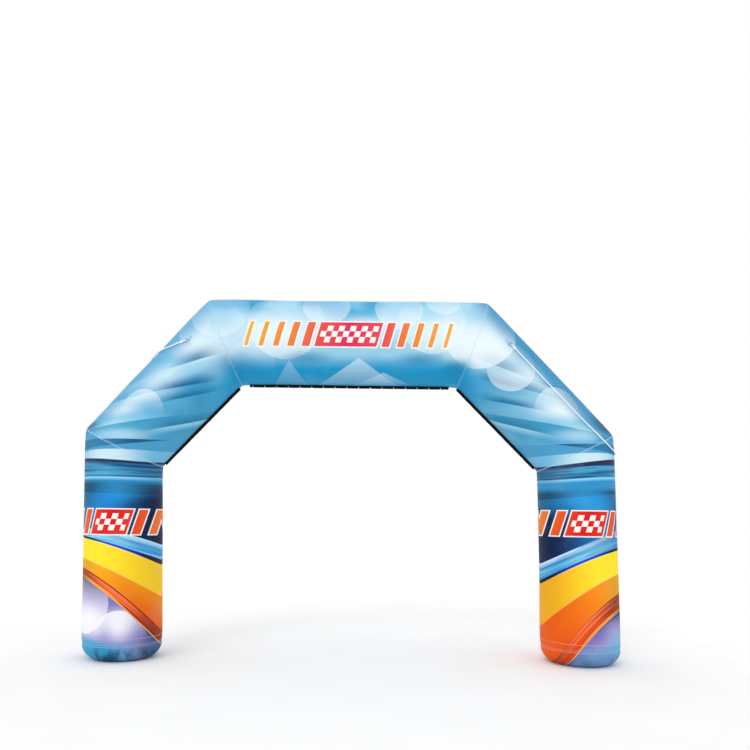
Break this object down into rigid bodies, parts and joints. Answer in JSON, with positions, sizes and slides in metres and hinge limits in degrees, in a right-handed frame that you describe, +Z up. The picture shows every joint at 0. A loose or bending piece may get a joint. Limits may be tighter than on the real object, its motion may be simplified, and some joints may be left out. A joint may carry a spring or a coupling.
{
  "type": "inflatable arch",
  "caption": "Inflatable event arch of five sewn cloth tubes on flat feet, with webbing flaps and a guy rope on a D-ring at each shoulder.",
  "frame": {"origin": "on the ground, under the middle of the arch's box", "axes": "+X along the arch's width, +Y to its back, +Z up"},
  "size_m": [6.0207, 1.158, 4.056],
  "materials": {
    "sky_cloth": "satin coated cloth, printed",
    "leg_cloth": "satin coated cloth, printed",
    "foot_cloth": "satin coated cloth, printed",
    "black_webbing": "matte woven webbing",
    "pale_webbing": "matte woven webbing",
    "ring_steel": "satin",
    "rope": "matte braid"
  },
  "bodies": {
    "root": {"leg_left": "leg_cloth", "diagonal_left": "sky_cloth", "beam": "sky_cloth", "diagonal_right": "sky_cloth", "leg_right": "leg_cloth", "foot_left": "foot_cloth", "foot_right": "foot_cloth", "flap_left": "black_webbing", "flap_beam": "black_webbing", "flap_right": "black_webbing", "tab_left": "pale_webbing", "ring_left": "ring_steel", "hitch_left": "rope", "rope_left": "rope", "coil_left": "rope", "end_knot_left": "rope", "tab_right": "pale_webbing", "ring_right": "ring_steel", "hitch_right": "rope", "rope_right": "rope", "coil_right": "rope", "end_knot_right": "rope"}
  },
  "joints": []
}
